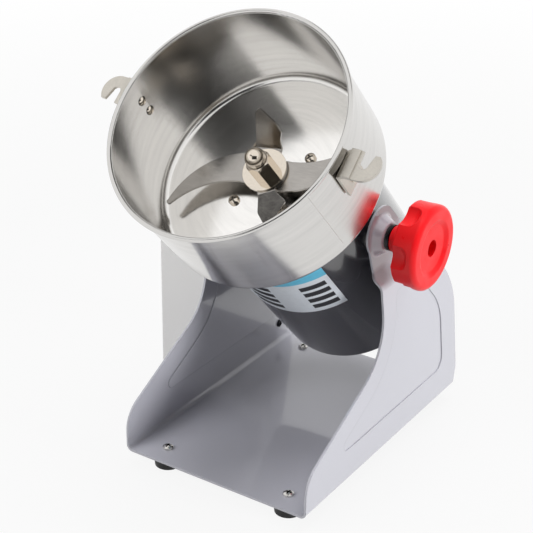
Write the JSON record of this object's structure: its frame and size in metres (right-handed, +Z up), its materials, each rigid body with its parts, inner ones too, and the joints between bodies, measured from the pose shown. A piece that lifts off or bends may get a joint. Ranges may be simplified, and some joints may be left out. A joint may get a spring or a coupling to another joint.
{
  "type": "electric coffee grinder",
  "caption": "Tilting swing mill: steel bowl with bent blades on a motor, clamped by a red knob between the ears of a folded sheet stand.",
  "frame": {"origin": "on the surface that the feet stand on, under the middle of the bounding box", "axes": "+Z up, +X to the knob's side along the tilt pivot, +Y to the rear, the bowl tipped toward -Y"},
  "size_m": [0.2886, 0.3454, 0.4133],
  "materials": {
    "stand_paint": "glossy powder coat, blue grey",
    "box_paint": "fine textured powder coat, pale grey",
    "motor_paint": "semi-gloss enamel, charcoal",
    "bowl_steel": "satin brushed stainless steel",
    "hook_steel": "smooth stainless sheet",
    "blade_steel": "ground stainless steel",
    "polished_steel": "polished",
    "zinc_steel": "zinc plated",
    "black_steel": "blackened",
    "black_rubber": "matt",
    "black_plastic": "fine moulded grain",
    "pale_plastic": "moulded",
    "red_plastic": "glossy moulded red",
    "alloy": "die cast",
    "core_iron": "stacked sheet",
    "copper": "enamelled copper",
    "brass": "machined",
    "carbon": "pressed carbon"
  },
  "bodies": {
    "stand": {"stand_frame": "stand_paint", "rubber_feet": "black_rubber", "foot_screws": "zinc_steel", "foot_nuts": "zinc_steel", "pivot_bush_right": "black_plastic", "pivot_bush_left": "black_plastic", "cable_grommet": "black_rubber", "control_box": "box_paint", "box_screws": "black_steel", "box_nuts": "zinc_steel", "switch_housing": "black_plastic", "overload_protector": "black_plastic", "protector_nut": "zinc_steel", "cord_gland": "black_plastic", "gland_nut": "black_plastic", "terminal_block": "pale_plastic"},
    "head": {"bowl": "bowl_steel", "latch_hook_right": "hook_steel", "latch_hook_left": "hook_steel", "hook_rivets": "polished_steel", "bowl_screws": "polished_steel", "shaft_seal": "black_rubber", "motor_housing": "motor_paint", "upper_bracket": "alloy", "lower_bracket": "alloy", "motor_bolts": "zinc_steel", "stator_core": "core_iron", "field_windings": "copper", "upper_bearing": "zinc_steel", "lower_bearing": "zinc_steel", "brush_holders": "brass", "carbon_brushes": "carbon", "brush_springs": "zinc_steel", "bottom_cover": "motor_paint", "cover_screws": "black_steel", "motor_grommet": "black_rubber", "pivot_boss_right": "motor_paint", "pivot_boss_left": "motor_paint", "clamp_stud": "zinc_steel", "pivot_bolt_left": "zinc_steel", "pivot_nut_left": "zinc_steel"},
    "rotor": {"motor_shaft": "zinc_steel", "armature_core": "core_iron", "armature_windings": "copper", "commutator": "copper", "cooling_fan": "black_plastic", "blade_collar": "zinc_steel", "main_blade": "blade_steel", "cross_blade": "blade_steel", "blade_washer": "polished_steel", "jam_nut": "polished_steel", "cap_nut": "polished_steel"},
    "clamp_washer": {"clamp_washer": "zinc_steel"},
    "knob": {"clamp_knob": "red_plastic", "knob_insert": "brass"},
    "rocker": {"switch_rocker": "red_plastic"},
    "button": {"reset_button": "red_plastic"}
  },
  "joints": [
    {"name": "head_tilt", "type": "hinge", "parent": "stand", "child": "head", "pos_m": [0.0093, 0.01268, 0.2257], "axis": [1, 0, 0], "range_deg": [-43.4, 85]},
    {"name": "rotor_spin", "type": "hinge", "parent": "head", "child": "rotor", "pos_m": [0.0093, 0.01268, 0.2257], "axis": [0, -0.6871, 0.7266], "continuous": true},
    {"name": "washer_slide", "type": "slide", "parent": "head", "child": "clamp_washer", "axis": [1, 0, 0], "range_m": [0, 0.0015]},
    {"name": "knob_turn", "type": "hinge", "parent": "clamp_washer", "child": "knob", "pos_m": [0.0093, 0.01268, 0.2257], "axis": [1, 0, 0], "range_deg": [0, 360]},
    {"name": "rocker_tilt", "type": "hinge", "parent": "stand", "child": "rocker", "pos_m": [-0.1343, 0.05148, 0.134], "axis": [0, 1, 0], "range_deg": [0, 16]},
    {"name": "button_press", "type": "slide", "parent": "stand", "child": "button", "axis": [1, 0, 0], "range_m": [0, 0.002], "stiffness_N_per_m": 300}
  ],
  "couplings": [
    {"joint": "washer_slide", "follows": "knob_turn", "m_per_rad": 0.000238}
  ]
}
